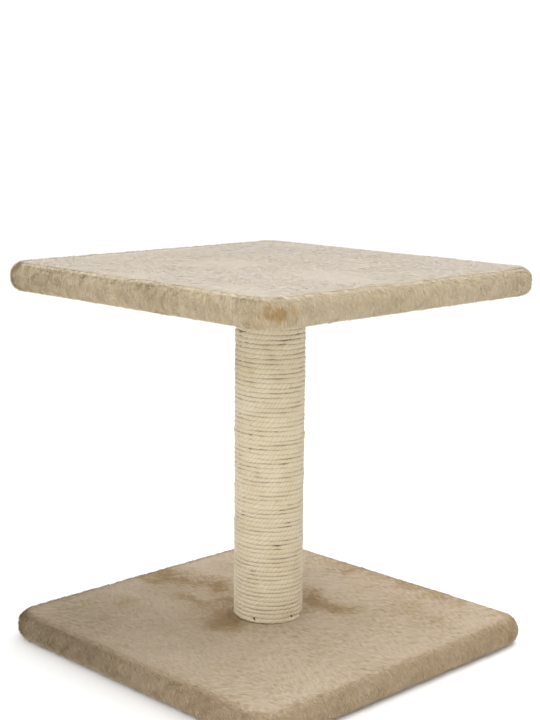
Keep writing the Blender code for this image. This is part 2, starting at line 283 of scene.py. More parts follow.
plush = {
    "platform": {
        "node": "top_cover",
        "slot": "platform_plush",
        "board": "top_board",
        "staples": "top_staple",
        "postRadius": 0.0,   # room left for the post in the top's pile
        "seed": 11,
        # the darker root colour is painted shade deep in the pile
        "root": (0.420, 0.325, 0.165),
        "middle": (0.580, 0.500, 0.340),
        "tip": (0.560, 0.521, 0.470),
        # the rim's tones, darker than the top's, are painted shade where the nap hangs over the edge
        "shadedRimTones": (0.50, 0.78),
        # the side's tones are darker than the top's: painted shade of the edges, which turn away from
        # the light above
        "shadedSideTones": (0.22, 0.46),
        "grain": 0.25,       # unevenness of the top's tufts
        "streaks": 0.012,    # streaks along its nap
        "backingAndShade": (0.400, 0.255, 0.090),
        "nap": (-0.30, -1.0),
        # where the pile is opened at the front corner: turn round the corner in degrees,
        # height over the lowest face, reach and strength
        "openings": [
            (0, 0.0190, 0.0056, 1.00), (19, 0.0195, 0.0034, 0.95), (23, 0.0150, 0.0044, 1.10),
            (23, 0.0110, 0.0034, 0.70), (14, 0.0225, 0.0020, 0.80), (46, 0.0185, 0.0046, 1.10),
            (6, 0.0140, 0.0090, 0.25), (-26, 0.0125, 0.0090, 0.28),
        ],
        # rubbed places on the top, darker or lighter, and places of painted shade, which mix towards
        # the backing's colour:
        # x, y, half length, half width, turn in degrees, strength
        "rubbed": [(0.005, -0.007, 0.050, 0.024, 30, 0.10), (0.110, -0.040, 0.060, 0.020, 50, 0.07),
                   (-0.090, 0.060, 0.070, 0.025, 60, 0.06)],
        "paintedShadePlaces": [],
    },
    "base": {
        "node": "base_cover",
        "slot": "base_plush",
        "board": "base_board",
        "staples": "base_staple",
        "postRadius": 0.0345,
        "seed": 47,
        # the base's root, middle and tip are darker and browner than the platform's, for the same
        # plush: partly painted shade under the platform
        "root": (0.235, 0.138, 0.038),
        "middle": (0.390, 0.298, 0.174),
        "tip": (0.560, 0.475, 0.370),
        # the rim's tones, darker than the top's, are painted shade where the nap hangs over the edge
        "shadedRimTones": (0.52, 0.84),
        # the side's tones are darker than the top's: painted shade of the edges, which turn away from
        # the light above
        "shadedSideTones": (0.36, 0.76),
        "grain": 1.4,
        "streaks": 0.17,
        # on the base this colour is painted shade, mixed in over its places of painted shade
        "backingAndShade": (0.205, 0.163, 0.106),
        "nap": (-0.30, -1.0),
        "openings": [],
        # painted shade on the base's left, under the platform: broad places mixed towards the
        # backing's colour
        "paintedShadePlaces": [(-0.150, 0.125, 0.150, 0.110, 60, 0.60), (-0.080, 0.000, 0.060, 0.050, 60, 0.14)],
        "rubbed": [(-0.025, 0.160, 0.018, 0.013, 45, 0.85), (0.004, 0.148, 0.026, 0.013, 80, 0.80),
                   (0.020, 0.099, 0.030, 0.013, 80, 0.90), (-0.082, 0.127, 0.026, 0.011, 70, 0.55),
                   (-0.044, 0.022, 0.040, 0.022, 70, 1.00), (-0.018, 0.078, 0.034, 0.011, 110, 0.65),
                   (0.172, -0.050, 0.110, 0.013, 90, 0.45),
                   (0.061, -0.015, 0.032, 0.018, 95, 0.90), (0.162, 0.037, 0.018, 0.012, 30, 0.45),
                   (0.104, -0.034, 0.034, 0.018, 100, -0.10), (0.106, -0.100, 0.040, 0.022, 80, 0.25),
                   (0.106, 0.034, 0.030, 0.016, 70, -0.10), (-0.061, 0.150, 0.030, 0.012, 60, -0.35),
                   (0.050, 0.151, 0.030, 0.014, 80, -0.30), (0.130, -0.070, 0.110, 0.090, 0, 0.12)],
    },
    "corner": 0.0286,        # plan radius of the covered board
    "rim": 0.012,            # rounding over the board's edges
    "hem": 0.045,            # width of the hem underneath
    "hemCorner": 0.0045,
    "overEdge": 0.012,       # cloth used up in going round the edges
    "topDepth": 0.00028,     # how far the roots lie under the pile's surface
    "sideDepth": 0.0020,
    "hemDepth": 0.0022,
    "topSpread": 0.00008,    # unevenness of the top's roots
    "clothInside": 0.0060,   # the cloth's inner face, just off the board
    "clothThinner": 0.0009,  # how much thinner the cloth is at the hem
    "clothSpacing": 0.0045,
    "topSpacing": 0.00142,
    "sideSpacing": 0.00092,
    "hemSpacing": 0.0019,
    "topLength": 0.0085,
    "sideLength": 0.0046,
    "hemLength": 0.0055,
    "topWidth": 0.0017,
    "sideWidth": 0.00080,
    "hemWidth": 0.0013,
    "topFlat": 0.15,         # the top's tufts lie flat, like locks
    "sideFlat": 0.8,
    "hemFlat": 0.7,
    "lengthRange": (0.75, 1.20),
    "riseRange": (0.62, 1.12),
    "widthRange": (0.70, 1.25),
    "topTones": (0.80, 0.96),
    "hemTones": (0.25, 0.75),
    "toneSpread": 0.09,      # how much single tufts differ
    "patchTone": 0.03,
    "patchWave": 0.045,
    "sideStreaks": 0.03,     # strength of the streaks on sides and hem
    "streakWave": 0.0042,
    "raggedShare": 0.10,     # how much longer the tufts are in places
    "raggedWave": 0.009,
    "clumpWave": 0.0046,     # wave length of the tufts' clumps, and how far they are pulled
    "clumpLocks": 0.08,
    "clumpTufts": 0.15,
    "jitter": 0.07,
    "floorGap": 0.0003,      # the lowest pile starts just over the floor
    "slowWave": 0.13,        # slow and quick turns of the nap
    "slowTurn": 0.22,
    "quickWave": 0.014,
    "quickTurnTop": 0.08,
    "quickTurnSide": 0.24,
    "lumpWave": 0.022,       # swell of the padded side
    "lumpHeight": 0.00045,
    "dimpleDepth": 0.0016,   # hollow that each staple presses
    "dimpleReach": 0.0040,
    "foldWidth": 0.0016,     # mitred fold at the hem's corners
    "foldHeight": 0.0016,
    "foldFar": 0.050,        # it rises between these distances from the board's edge
    "foldNear": 0.030,
    "rimBlend": 0.011,       # width over which the top's pile turns into the rim's
    "pressReach": 0.005,     # reach of the pressed pile round the post
    "pressShorter": 0.55,
    "pressHigher": 1.3,
}


def sweepSquare(half, corner, inset, columns):
    # ring of a rounded square pulled inwards by inset: centre c = half - inset - r with
    # r = max(corner - inset, hemCorner); a point is c * side + r * direction
    r = np.maximum(corner - inset, plush["hemCorner"])
    c = half - inset - r
    side, direction = columns
    return c[..., None] * side + r[..., None] * direction


def squareColumns(half, corner, spacing):
    # side vectors and outward directions round the square, evenly spaced along its outline
    c = half - corner
    straight, bend = 2 * c, corner * math.pi / 2
    nStraight, nBend = max(2, round(straight / spacing)), max(3, round(bend / spacing))
    sides, directions = [], []
    for quarter in range(4):
        turn = quarter * math.pi / 2
        out = np.array([math.cos(turn), math.sin(turn)])
        along = np.array([-out[1], out[0]])
        t = np.linspace(-1, 1, nStraight, endpoint=False)[:, None]
        sides.append(out + t * along)
        directions.append(np.repeat(out[None], nStraight, 0))
        angle = turn + np.linspace(0, math.pi / 2, nBend, endpoint=False)
        sides.append(np.repeat((out + along)[None], nBend, 0))
        directions.append(np.stack([np.cos(angle), np.sin(angle)], 1))
    return np.concatenate(sides), np.concatenate(directions)


def edgeProfile(t, low, high, depth):
    # t in metres along the section of the slab's edge, from the top's rim over the side to
    # the underside: quarter arc, short wall, quarter arc. Gives inset, height and the
    # normal's parts outwards and upwards.
    rim = plush["rim"]
    r = rim - depth
    arc = r * math.pi / 2
    wall = (high - low) - 2 * rim
    a = np.clip(t / r, 0, math.pi / 2)
    b = np.clip((t - arc - wall) / r, 0, math.pi / 2)
    drop = np.clip(t - arc, 0, wall)
    onTop, under = np.minimum(t, 0), np.maximum(t - 2 * arc - wall, 0)
    inset = rim - r * np.sin(a) + r * (1 - np.cos(b)) - onTop + under
    upper = high - rim + r * np.cos(a) - drop
    height = np.where(t < arc + wall, upper, low + rim - r * np.sin(b))
    out = np.where(t < arc + wall, np.sin(a), np.cos(b))
    up = np.where(t < arc + wall, np.cos(a), -np.sin(b))
    return inset, height, out, up


def edgeLength(low, high, depth):
    # length of that section: two quarter arcs of radius rim - depth and the wall
    return (plush["rim"] - depth) * math.pi + ((high - low) - 2 * plush["rim"])


def coverSizes(kind):
    # half side, lowest and highest level of a covered board
    low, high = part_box(plush[kind]["node"])
    return (high.x - low.x) / 2, low.z, high.z


def edgeDepth(t, length):
    # depth of the roots: shallow on the top, deeper on the side and underneath
    share = np.clip(t / length, 0, 1)
    rise = smoothStep(-0.02, 0.16, share)
    fall = smoothStep(0.75, 1.0, share)
    top, side, hem = plush["topDepth"], plush["sideDepth"], plush["hemDepth"]
    return top + (side - top) * rise + (hem - side) * fall


def stapleSpots(kind):
    # middles of the hem staples of one board, in plan
    names = sorted(n for n in frame["nodes"] if n.startswith(plush[kind]["staples"]))
    boxes = [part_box(n) for n in names]
    return np.array([[(a.x + b.x) / 2, (a.y + b.y) / 2] for a, b in boxes])


def dimples(points, spots, depth, reach):
    # sum of depth * exp(-(distance / reach)^2) round each staple
    gap = np.linalg.norm(points[:, None, :2] - spots[None], axis=-1)
    return (depth * np.exp(-((gap / reach) ** 2))).sum(1)


def foldLine(points, half):
    # nearness, 0 to 1, to the folds that run in from the corners under the board
    x, y = np.abs(points[:, 0]), np.abs(points[:, 1])
    across = (x - y) / math.sqrt(2)
    inwards = smoothStep(half - plush["foldFar"], half - plush["foldNear"], np.maximum(x, y))
    return np.exp(-((across / plush["foldWidth"]) ** 2)) * inwards, across * inwards


def lumps(points, kind):
    # slow outward swell of the padded side, strongest at mid height
    half, low, high = coverSizes(kind)
    swell, _ = softNoise(points, plush["lumpWave"], plush[kind]["seed"])
    middle = np.exp(-(((points[:, 2] - (low + high) / 2) / 0.011) ** 2))
    return plush["lumpHeight"] * swell * middle


def coverCloth(kind):
    # the cloth as one closed shell of rounded squares, from the top's middle over the edge,
    # along the hem and back inside: its outer face carries the pile, its inner face the board
    half, low, high = coverSizes(kind)
    depth, corner, hem = plush["sideDepth"], plush["corner"], plush["hem"]
    columns = squareColumns(half, corner, plush["clothSpacing"])
    topRows, edgeRows, hemRows, backRows, roofRows = 40, 22, 12, 8, 14
    length = edgeLength(low, high, depth)
    t = np.linspace(0.0, length, edgeRows)
    inset, height, out, up = edgeProfile(t, low, high, depth)
    lift = depth - edgeDepth(t, length)
    inset, height = inset - lift * out, height + lift * up
    innermost = half - plush["hemCorner"]
    topIn = np.linspace(innermost, plush["rim"] + 0.003, topRows)
    hemIn = np.linspace(plush["rim"] + 0.003, hem, hemRows)
    side = plush["clothInside"]
    wall = low + side - plush["clothThinner"]
    roof = high - side
    hemLevel = low + plush["hemDepth"]
    insets = np.concatenate([
        topIn, inset, hemIn, [hem + 0.0008, hem],
        np.linspace(hem - 0.004, side + 0.001, backRows), [side, side],
        np.linspace(side + 0.001, innermost, roofRows),
    ])
    heights = np.concatenate([
        np.full(topRows, high - plush["topDepth"]), height, np.full(hemRows, hemLevel),
        [(hemLevel + wall) / 2, wall],
        np.full(backRows, wall), [wall + 0.001, roof - 0.001], np.full(roofRows, roof),
    ])
    outer = topRows + edgeRows + hemRows
    rings = sweepSquare(half, corner, insets[:, None], columns)
    levels = np.broadcast_to(heights[:, None, None], rings.shape[:2] + (1,))
    points = np.concatenate([rings, levels], -1)
    rows, count = points.shape[:2]
    points = points.reshape(-1, 3)
    onOuter = np.arange(rows * count) < outer * count
    facing = unit(points * np.array([1.0, 1.0, 0.0]))
    points += facing * (lumps(points, kind) * onOuter)[:, None]
    under = onOuter & (points[:, 2] < low + 0.004)
    fold, across = foldLine(points, half)
    sink = dimples(points, stapleSpots(kind), plush["dimpleDepth"], plush["dimpleReach"])
    step = 0.0004 * np.tanh(across / 0.001)  # one side of the mitre lies a little higher
    points[:, 2] += np.where(under, plush["foldHeight"] * fold + sink - step, 0)
    if kind == "platform":  # no bolt hole in the upper cover, so both middles are closed
        points = np.concatenate([points, [points[:count].mean(0), points[-count:].mean(0)]])
        ends = endFaces(rows, count)
    else:                   # the lower cover's two faces meet round the bolt
        j = np.arange(count)
        k = (j + 1) % count
        last = (rows - 1) * count
        ends = np.concatenate([
            np.stack([last + k, last + j, j], 1), np.stack([last + k, j, k], 1),
        ])
    return points, np.concatenate([tubeFaces(rows, count), ends])


def napDirection(points, normals, outward, kind, nearRim):
    # one nap runs over the whole board and turns with the cloth at its edges:
    # (f.o) d + (f.a) a, with f the nap in plan, o outwards, a along the edge and d down the
    # section. Near the rims it hangs over. Slow and quick noise turn it further.
    seed = plush[kind]["seed"]
    nap = unit(np.array(plush[kind]["nap"]))
    slow, _ = softNoise(points, plush["slowWave"], seed + 1)
    quick, _ = softNoise(points, plush["quickWave"], seed + 2)
    swing = plush["slowTurn"] * slow
    f = np.stack([
        nap[0] * np.cos(swing) - nap[1] * np.sin(swing),
        nap[0] * np.sin(swing) + nap[1] * np.cos(swing),
    ], 1)
    along = np.stack([-outward[:, 1], outward[:, 0]], 1)
    up, out = normals[:, 2:3], (normals[:, :2] * outward).sum(1, keepdims=True)
    down = np.concatenate([outward * up, -out], 1)
    overEdge, beside = (f * outward).sum(1, keepdims=True), (f * along).sum(1, keepdims=True)
    level = np.concatenate([along, np.zeros((len(points), 1))], 1)
    hang = (0.30 + 0.25 * np.abs(out)) * nearRim[:, None]
    lie = unit(overEdge * down + beside * level + down * hang)
    turn = np.where(up[:, 0] > 0.9, plush["quickTurnTop"], plush["quickTurnSide"]) * quick
    return lie * np.cos(turn)[:, None] + np.cross(normals, lie) * np.sin(turn)[:, None]


def openedAndShadeShare(points, kind):
    # nearness, 0 to 1, to the openings in the pile at the corner at -x, -y, whose spots lie at
    # c + corner * (cos a, sin a); the places of painted shade on the top are added
    half, low, high = coverSizes(kind)
    share = np.zeros(len(points))
    streak, _ = softNoise(points * np.array([1.0, 1.0, 0.35]), 0.0032, 91)
    bend, _ = softNoise(points, 0.012, 92)
    middle = -(half - plush["corner"])
    for turn, height, reach, strength in plush[kind]["openings"]:
        angle = math.radians(225 + turn)
        spot = np.array([
            middle + plush["corner"] * math.cos(angle),
            middle + plush["corner"] * math.sin(angle),
            low + height,
        ])
        gap = np.linalg.norm((points - spot) * np.array([1.0, 1.0, 0.8]), axis=1) / reach
        share += strength * np.exp(-((gap * (1 + 0.20 * bend)) ** 2))
    return np.clip(share * (0.90 + 0.25 * streak) + rubbedAndShadeShare(points, kind, "paintedShadePlaces"), 0, 1)


def rubbedAndShadeShare(points, kind, places="rubbed"):
    # sum of strength * exp(-(u / length)^2 - (v / width)^2) over the places, with the
    # coordinates themselves pushed about by noise
    push, _ = softNoise(points, 0.050, 71)
    pull, _ = softNoise(points, 0.050, 72)
    fine, _ = softNoise(points, 0.018, 73)
    x = points[:, 0] + 0.006 * push + 0.002 * fine
    y = points[:, 1] + 0.006 * pull
    total = np.zeros(len(points))
    for atX, atY, length, width, turn, strength in plush[kind][places]:
        c, s = math.cos(math.radians(turn)), math.sin(math.radians(turn))
        u = (x - atX) * c + (y - atY) * s
        v = (y - atY) * c - (x - atX) * s
        total += strength * np.exp(-((u / length) ** 2) - (v / width) ** 2)
    return total * (points[:, 2] > coverSizes(kind)[2] - 0.02)


def growTufts(roots, normals, lie, length, width, rise, tones, kind, seed, land, flat):
    # a tuft is a closed three-sided spike. It reaches sqrt(length^2 - rise^2) along the lie,
    # pulled sideways into clumps by a noise's slope, comes down where land says, and its tip
    # stands rise above that; flat squashes its section against the cloth
    r = np.random.default_rng(seed)
    n = len(roots)
    own, standing = plush[kind], flat > 0.5
    ragged, _ = softNoise(roots, plush["raggedWave"], seed + 8)
    ragged = 1 + plush["raggedShare"] * ragged
    length = length * r.uniform(*plush["lengthRange"], n) * ragged
    rise = rise * r.uniform(*plush["riseRange"], n) * ragged
    _, slope = softNoise(roots, plush["clumpWave"], seed + 5, 20)
    slope *= plush["clumpTufts"] if standing else plush["clumpLocks"]
    slope -= (slope * normals).sum(1, keepdims=True) * normals
    jitter = r.normal(size=(n, 3)) * plush["jitter"] * (1 + flat)
    jitter -= (jitter * normals).sum(1, keepdims=True) * normals
    reach = np.sqrt(np.maximum(length ** 2 - rise ** 2, 1e-8))
    point, facing = land(unit(lie + slope + jitter) * reach[:, None])
    tip = point + facing * rise[:, None]
    axis = unit(tip - roots)
    u = unit(np.cross(axis, normals) + 1e-9)
    v = np.cross(u, axis)
    spin = r.uniform(0, fullTurn, n)[:, None] + np.arange(3) * fullTurn / 3
    ring = np.cos(spin)[..., None] * u[:, None] + flat * np.sin(spin)[..., None] * v[:, None]
    half = width * r.uniform(*plush["widthRange"], n) / 2
    foot = roots - normals * (0.0001 + 0.0003 * flat)
    points = np.concatenate([foot[:, None] + ring * half[:, None, None], tip[:, None]], 1)
    turnRound = (np.cross(ring[:, 1] - ring[:, 0], ring[:, 2] - ring[:, 0]) * axis).sum(1) < 0
    pattern = np.array([[2, 1, 0], [0, 1, 3], [1, 2, 3], [2, 0, 3]])
    corners = np.where(turnRound[:, None, None], pattern[:, ::-1], pattern)
    faces = np.arange(n)[:, None, None] * 4 + corners
    # tones: slow patches, streaks along the nap, each tuft's own difference and the rubbed places
    patch, _ = softNoise(roots, plush["patchWave"], seed + 7)
    nap = unit(np.array(own["nap"]))
    squeezed = roots[:, :2] - 0.5 * (roots[:, :2] @ nap)[:, None] * nap
    squeezed = np.column_stack([squeezed, roots[:, 2]])
    streaks, _ = softNoise(squeezed, plush["streakWave"], seed + 9, 40)
    grain, strength = (1.0, plush["sideStreaks"]) if standing else (own["grain"], own["streaks"])
    shade = r.normal(0.0, plush["toneSpread"], n) * grain + strength * streaks
    shade = shade + plush["patchTone"] * patch - rubbedAndShadeShare(roots, kind)
    low, high = (np.broadcast_to(x, n) + shade for x in tones)
    # each tuft's foot takes the low tone, painted shade deep in the pile, and its tip the high one
    tone = np.clip(np.stack([low, low, low, high], 1), 0, 1)
    points = points.reshape(-1, 3)
    if kind == "base":  # the hem's pile is pressed flat by the floor
        points[:, 2] = np.maximum(points[:, 2], plush["floorGap"])
    # share of the backing's colour: the opened pile, and painted shade on the base's left
    openedAndShade = np.clip(openedAndShadeShare(roots, kind) * (1 + 2.4 * strength * streaks), 0, 1)
    openedAndShade = np.repeat(openedAndShade, 4) * np.tile([1.0, 1.0, 1.0, 0.85], n)
    return points, faces.reshape(-1, 3), tone.ravel(), openedAndShade


def jitteredRoots(half, spacing, seed):
    # a square grid of points, each moved by up to half a step
    r = np.random.default_rng(seed)
    n = int(2 * half / spacing)
    a = (np.arange(n) + 0.5) * 2 * half / n - half
    x, y = np.meshgrid(a, a)
    grid = np.stack([x.ravel(), y.ravel()], 1)
    return grid + r.uniform(-0.5, 0.5, grid.shape) * spacing


def insideSquare(points, half, corner):
    # distance inside a rounded square, positive within it
    q = np.abs(points) - (half - corner)
    outside = np.linalg.norm(np.maximum(q, 0), axis=1)
    return corner - outside - np.minimum(q.max(1), 0)


def nearestEdge(points):
    # outward direction to the nearest edge, turning smoothly at the diagonals
    p = points[:, :2]
    return unit(np.sign(p) * (np.abs(p) / 0.19) ** 8 + 1e-9)


def overRim(roots, normals, kind):
    # landing rule for the flat faces: a tuft that reaches past the rim by e drops e^2 / 2r
    half, low, high = coverSizes(kind)
    outward = nearestEdge(roots)
    inside = insideSquare(roots[:, :2], half, plush["corner"]) - plush["rim"]
    r = plush["rim"] - plush["topDepth"]

    def land(move):
        past = np.maximum((move[:, :2] * outward).sum(1) - np.maximum(inside, 0), 0)
        point = roots + move - normals * (past ** 2 / (2 * r))[:, None]
        lean = np.clip(past / r, 0, 1)[:, None]
        level = np.concatenate([outward, np.zeros((len(roots), 1))], 1)
        return point, unit(normals * np.sqrt(1 - lean ** 2 * 0.9) + level * lean)

    return land


def shadedRimTones(outward, kind):
    # the pile is darker where the nap hangs over a rim than where it comes in over one: painted shade
    # along the rim
    hangs = smoothStep(-0.3, 0.3, outward @ unit(np.array(plush[kind]["nap"])))[:, None]
    return hangs * np.array(plush[kind]["shadedRimTones"]) + (1 - hangs) * np.array(plush["topTones"])


def topPile(kind):
    # the pile of the flat top: long level locks, shorter towards the rim and darker there with
    # painted shade
    half, low, high = coverSizes(kind)
    p = plush[kind]
    postRadius = p["postRadius"]
    roots = jitteredRoots(half, plush["topSpacing"], p["seed"])
    keep = insideSquare(roots, half, plush["corner"]) > plush["rim"] - 0.001
    if postRadius:
        keep &= np.linalg.norm(roots, axis=1) > postRadius
    roots = roots[keep]
    n = len(roots)
    spread = np.random.default_rng(p["seed"] + 6).uniform(-1, 1, n) * plush["topSpread"]
    roots = np.column_stack([roots, high - plush["topDepth"] + spread])
    normals = np.tile([0.0, 0.0, 1.0], (n, 1))
    inside = insideSquare(roots[:, :2], half, plush["corner"]) - plush["rim"]
    middle = smoothStep(-0.001, plush["rimBlend"], inside)
    lie = napDirection(roots, normals, nearestEdge(roots), kind, 1 - middle)
    rise = np.full(n, plush["topDepth"])
    length = plush["sideLength"] + (plush["topLength"] - plush["sideLength"]) * middle
    atRim, onTop = shadedRimTones(nearestEdge(roots), kind).T, np.array(plush["topTones"])[:, None]
    tones = atRim * (1 - middle) + onTop * middle
    if postRadius:  # the pile is pressed outwards round the foot of the post and stands up a little
        away = np.linalg.norm(roots[:, :2], axis=1)
        outwards = unit(roots * np.array([1.0, 1.0, 0.0]))
        press = np.exp(-((away - postRadius) / plush["pressReach"]))
        lie = unit(lie * (1 - press)[:, None] + outwards * press[:, None])
        length = length * (1 - plush["pressShorter"] * press)
        rise = rise * (1 + plush["pressHigher"] * press)
    return growTufts(
        roots, normals, lie, length, plush["topWidth"], rise, tones, kind, p["seed"] + 20,
        overRim(roots, normals, kind), plush["topFlat"],
    )


def sidePile(kind):
    # the pile of the edge, in rows along its section from the top's rim to the hem
    half, low, high = coverSizes(kind)
    corner, depth, spacing = plush["corner"], plush["sideDepth"], plush["sideSpacing"]
    sides, directions = squareColumns(half, corner, spacing)
    count = len(sides)
    length = edgeLength(low, high, depth)
    rows = int((length + 0.002) / spacing)
    r = np.random.default_rng(plush[kind]["seed"] + 3)
    t = (np.arange(rows)[:, None] + r.uniform(-0.5, 0.5, (rows, count))) * spacing - 0.001
    t = t.ravel()
    slide = r.uniform(-0.5, 0.5, rows * count) * spacing
    side, outward = np.tile(sides, (rows, 1)), np.tile(directions, (rows, 1))
    along = np.stack([-outward[:, 1], outward[:, 0]], 1)

    def onSection(at, sideways):
        # point and normal at distance at down the section, moved sideways along the edge
        inset, height, out, up = edgeProfile(at, low, high, depth)
        lift = depth - edgeDepth(at, length)
        plan = sweepSquare(half, corner, inset - lift * out, (side, outward))
        point = np.column_stack([plan + along * sideways[:, None], height + lift * up])
        point[:, :2] += outward * lumps(point, kind)[:, None]
        return point, np.column_stack([outward * out[:, None], up])

    roots, normals = onSection(t, slide)
    lie = napDirection(roots, normals, outward, kind, np.ones(len(t)))
    down = np.column_stack([outward * normals[:, 2:3], -(normals[:, :2] * outward).sum(1)])

    def land(move):
        return onSection(t + (move * down).sum(1), slide + (move[:, :2] * along).sum(1))

    # the tones run from the rim's into the side's, both darker than the top's: painted shade of the
    # edge
    share = np.clip(t / length, 0, 1)
    fromTop = smoothStep(0.0, 0.30, share)[:, None]
    tones = (1 - fromTop) * shadedRimTones(outward, kind) + fromTop * np.array(plush[kind]["shadedSideTones"])
    rise = edgeDepth(t, length) * 1.02
    return growTufts(
        roots, normals, lie, plush["sideLength"], plush["sideWidth"], rise, tones.T, kind,
        plush[kind]["seed"] + 30, land, plush["sideFlat"],
    )


def hemPile(kind):
    # the pile of the hem underneath, pressed in round the staples and along the mitres
    half, low, high = coverSizes(kind)
    roots = jitteredRoots(half, plush["hemSpacing"], plush[kind]["seed"] + 9)
    inside = insideSquare(roots, half, plush["corner"])
    window = insideSquare(roots, half - plush["hem"], plush["hemCorner"])
    keep = (inside > plush["rim"] - 0.001) & (window < -0.0008)
    roots = np.column_stack([roots[keep], np.full(keep.sum(), low + plush["hemDepth"])])
    normals = np.tile([0.0, 0.0, -1.0], (len(roots), 1))
    press = np.clip(dimples(roots, stapleSpots(kind), 1.0, 0.0042), 0, 1)
    fold, _ = foldLine(roots, half)
    lie = napDirection(roots, normals, nearestEdge(roots), kind, np.zeros(len(roots)))
    rise = plush["hemDepth"] * (1 - 0.75 * press) * (1 - 0.5 * fold)
    length = plush["hemLength"] * (1 - 0.6 * press)
    roots[:, 2] += plush["dimpleDepth"] * press + 0.0014 * fold
    return growTufts(
        roots, normals, lie, length, plush["hemWidth"], rise, plush["hemTones"], kind,
        plush[kind]["seed"] + 40, overRim(roots, normals, kind), plush["hemFlat"],
    )


def plushMaterial(kind):
    # root, middle and tip colours along each tuft, broken up by slow and fine patches, a
    # rosier tip in places, and the browner backing where the pile is opened; on the base the same mix
    # is painted shade at its left
    p = plush[kind]
    m = Shader(kind + "Plush")
    tone = m.mark("tone")
    for scale, amount in ((16.0, 0.14), (300.0, 0.10)):
        change = m.math("SUBTRACT", m.noise(m.place(), scale, 2.0), 0.5)
        tone = m.math("ADD", tone, m.math("MULTIPLY", change, amount))
    # the ramp's darker root end is painted shade deep in the pile
    colour = m.ramp(tone, [(0.0, p["root"]), (0.5, p["middle"]), (1.0, p["tip"])])
    rosy = tuple(c * f for c, f in zip(p["tip"], (1.04, 0.96, 0.93)))
    blush = m.math("MULTIPLY", m.noise(m.place((1.0, 2.2, 1.0)), 11.0, 2.0), 0.45)
    colour = m.mix(blush, colour, rosy)
    # the backing's colour where the pile is opened; on the base it is painted shade
    colour = m.mix(m.math("MULTIPLY", m.mark("openedAndShade"), 0.90), colour, p["backingAndShade"])
    m.colour(colour)
    m.fixed(Roughness=0.95, Sheen_Weight=0.06, Sheen_Roughness=0.5)
    m.body.inputs["Sheen Tint"].default_value = (1.0, 0.95, 0.86, 1.0)
    m.body.inputs["Specular IOR Level"].default_value = 0.12
    return m.material


def tuftCells(count):
    # each tuft gets its own cell of the bake map, the root along its foot and the tip on top
    side = math.ceil(math.sqrt(count))
    index = np.arange(count)
    cell = np.stack([index % side, index // side], 1)[:, None]
    corners = np.array([[0.15, 0.12], [0.5, 0.05], [0.85, 0.12], [0.5, 0.92]])[None]
    return ((cell + corners) / side).reshape(-1, 2)


def addPile(name, made, share, material):
    # puts one pile into the scene, in as many pieces as share says
    points, faces, tone, openedAndShade = made
    cuts = np.linspace(0, len(points) // 4, share + 1).astype(int)
    pieces = []
    for index, (a, b) in enumerate(zip(cuts, cuts[1:])):
        rows = slice(a * 4, b * 4)
        piece = putMesh(
            name + "AB"[index] if share > 1 else name, points[rows], faces[rows] - a * 4,
            tuftCells(b - a), {"tone": tone[rows], "openedAndShade": openedAndShade[rows]}, False,
        )
        piece.data.materials.append(material)
        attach(piece, "root")
        pieces.append(piece)
    return pieces


def makePlush(kind):
    # one board's cloth and its piles
    p = plush[kind]
    material = plushMaterial(kind)
    points, triangles = coverCloth(kind)
    half, low, high = coverSizes(kind)
    # the cloth takes darker, root-like tones below the top's surface: painted shade down in the pile
    onTop = smoothStep(high - 0.0015, high - 0.0006, points[:, 2])
    under = 0.40 + 0.32 * onTop - rubbedAndShadeShare(points, kind)
    cloth = putMesh(
        kind + "Cloth", points, triangles, None,
        {"tone": np.clip(under, 0, 1), "openedAndShade": openedAndShadeShare(points, kind)},
    )
    cloth.data.materials.append(material)
    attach(cloth, "root")
    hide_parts(p["node"])
    piles = addPile(kind + "TopPile", topPile(kind), 2, material)
    piles += addPile(kind + "SidePile", sidePile(kind), 2, material)
    piles += addPile(kind + "HemPile", hemPile(kind), 1, material)
    print("stage:", kind, "plush,", sum(len(x.data.polygons) for x in piles), "faces of pile")


makePlush("platform")
makePlush("base")

sisal = {
    "node": "sisal_rope",
    "tube": 0.0300,          # radius that the rope lies on
    "thick": 0.0045,
    "endAngle": math.radians(-62.0),  # where the lower end is tucked in
    "turns": 70.4,
    "crowding": 0.10,        # how much tighter the turns lie at the foot than at the top
    "lay": 0.0125,           # length of one full twist of the three strands
    "strandDepth": 0.18,     # hollow between strands, as a share of the rope's radius
    "step": 0.00082,         # distance between sections along the rope
    "fatWave": 0.034,        # slow and quick changes of the rope's thickness
    "fatShare": 0.060,
    "fineWave": 0.0080,
    "fineShare": 0.070,
    "slackWave": 0.0095,     # where neighbouring turns part, and where they run together
    "mergeWave": 0.0075,
    "unevenWave": 0.020,     # drift of the twist
    "unevenTwist": 1.8,
    "bulgeHeight": 0.215,    # the thicker turn part way up
    "bulge": 0.0007,
    "dent": 0.0017,          # how far a staple pulls the rope in, along what length and height
    "dentLength": 0.0048,
    "dentHeight": 0.0018,
    "breakHeight": 0.317,    # where the turns part a little high on the post
    "breakAngle": math.radians(-178.0),
    "breakReach": 0.0035,
    "dark": (0.370, 0.275, 0.150),
    "mid": (0.600, 0.520, 0.368),
    "light": (0.725, 0.664, 0.538),
}


def turnHeights(k, turns, top, bottom):
    # height against turn number: spacing shrinks evenly down the post, then waves a little;
    # the last turn lies level
    share = k / turns
    run = share * (1 + sisal["crowding"] / 2) - sisal["crowding"] / 2 * share ** 2
    height = top + (bottom - top) * run
    wave = np.sin(k * 2.1) * 0.00005 + np.sin(k * 0.37 + 1.3) * 0.00020 + np.sin(k * 14.3) * 0.00005
    return height + wave * smoothStep(0, 1.5, k) * smoothStep(0, 1.5, turns - k)


def turnFrom(angle, start):
    # angle counted from start, between -pi and pi
    return (angle - start + math.pi) % fullTurn - math.pi


